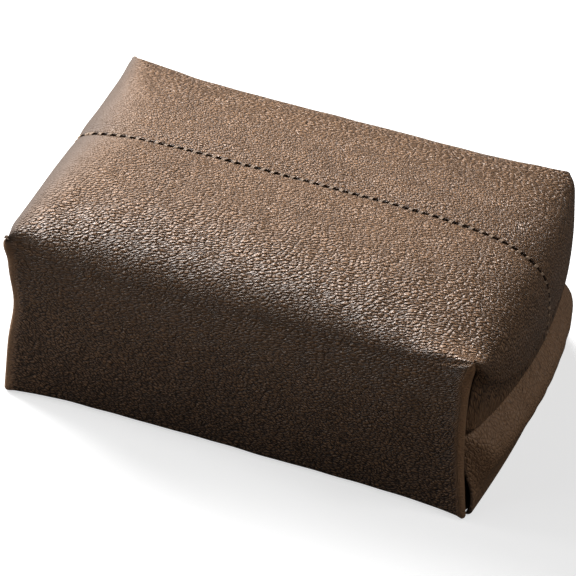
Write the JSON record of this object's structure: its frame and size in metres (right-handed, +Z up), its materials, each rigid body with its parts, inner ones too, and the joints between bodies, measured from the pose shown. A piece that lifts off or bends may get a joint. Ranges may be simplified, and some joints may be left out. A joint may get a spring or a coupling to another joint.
{
  "type": "tissue box cover",
  "caption": "Soft leather tissue box cover with a sewn crowned top, folding flapped ends and an outlet slot in its base.",
  "frame": {"origin": "centre of the bounding box's bottom face, on the surface that the cover stands on", "axes": "+X along the length to the end whose flap swells out more, -Y towards the front wall, +Z up"},
  "size_m": [0.224, 0.133, 0.1023],
  "materials": {
    "leather": "pebble grain, satin",
    "thread": "twisted polyester",
    "tape": "woven",
    "board": "matte sheet",
    "magnet": "matte flexible magnet",
    "steel": "zinc plated"
  },
  "bodies": {
    "cover": {"front_panel": "leather", "back_panel": "leather", "base_panel": "leather", "top_seam_thread": "thread", "top_seam_tape": "tape", "base_board": "board", "outlet_edging": "leather", "outlet_thread": "thread"},
    "right_upper": {"right_upper_flap_front": "leather", "right_upper_flap_back": "leather", "right_flap_thread": "thread", "right_flap_tape": "tape", "right_magnet": "magnet", "right_magnet_cover": "leather"},
    "right_lower": {"right_lower_flap": "leather", "right_keeper": "steel", "right_keeper_cover": "leather"},
    "right_front_side": {"right_front_tuck": "leather"},
    "right_back_side": {"right_back_tuck": "leather"},
    "left_upper": {"left_upper_flap_front": "leather", "left_upper_flap_back": "leather", "left_flap_thread": "thread", "left_flap_tape": "tape", "left_magnet": "magnet", "left_magnet_cover": "leather"},
    "left_lower": {"left_lower_flap": "leather", "left_keeper": "steel", "left_keeper_cover": "leather"},
    "left_front_side": {"left_front_tuck": "leather"},
    "left_back_side": {"left_back_tuck": "leather"}
  },
  "joints": [
    {"name": "right_upper_fold", "type": "hinge", "parent": "cover", "child": "right_upper", "pos_m": [0.11217, 0, 0.0894], "axis": [0, -1, 0], "range_deg": [0, 100]},
    {"name": "right_lower_fold", "type": "hinge", "parent": "cover", "child": "right_lower", "pos_m": [0.10117, 0, 0], "axis": [0, 1, 0], "range_deg": [0, 50]},
    {"name": "right_front_tuck_fold", "type": "hinge", "parent": "cover", "child": "right_front_side", "pos_m": [0.08697, -0.0607, 0.044], "axis": [0, 0, -1], "range_deg": [0, 50]},
    {"name": "right_back_tuck_fold", "type": "hinge", "parent": "cover", "child": "right_back_side", "pos_m": [0.08697, 0.0607, 0.044], "axis": [0, 0, 1], "range_deg": [0, 50]},
    {"name": "left_upper_fold", "type": "hinge", "parent": "cover", "child": "left_upper", "pos_m": [-0.10683, 0, 0.098], "axis": [0, 1, 0], "range_deg": [0, 100]},
    {"name": "left_lower_fold", "type": "hinge", "parent": "cover", "child": "left_lower", "pos_m": [-0.11043, 0, 0], "axis": [0, -1, 0], "range_deg": [0, 50]},
    {"name": "left_front_tuck_fold", "type": "hinge", "parent": "cover", "child": "left_front_side", "pos_m": [-0.09623, -0.0607, 0.044], "axis": [0, 0, 1], "range_deg": [0, 50]},
    {"name": "left_back_tuck_fold", "type": "hinge", "parent": "cover", "child": "left_back_side", "pos_m": [-0.09623, 0.0607, 0.044], "axis": [0, 0, -1], "range_deg": [0, 50]}
  ],
  "couplings": [
    {"joint": "right_lower_fold", "follows": "right_upper_fold", "ratio": 0.5},
    {"joint": "right_front_tuck_fold", "follows": "right_upper_fold", "ratio": 0.5},
    {"joint": "right_back_tuck_fold", "follows": "right_upper_fold", "ratio": 0.5},
    {"joint": "left_lower_fold", "follows": "left_upper_fold", "ratio": 0.5},
    {"joint": "left_front_tuck_fold", "follows": "left_upper_fold", "ratio": 0.5},
    {"joint": "left_back_tuck_fold", "follows": "left_upper_fold", "ratio": 0.5}
  ]
}
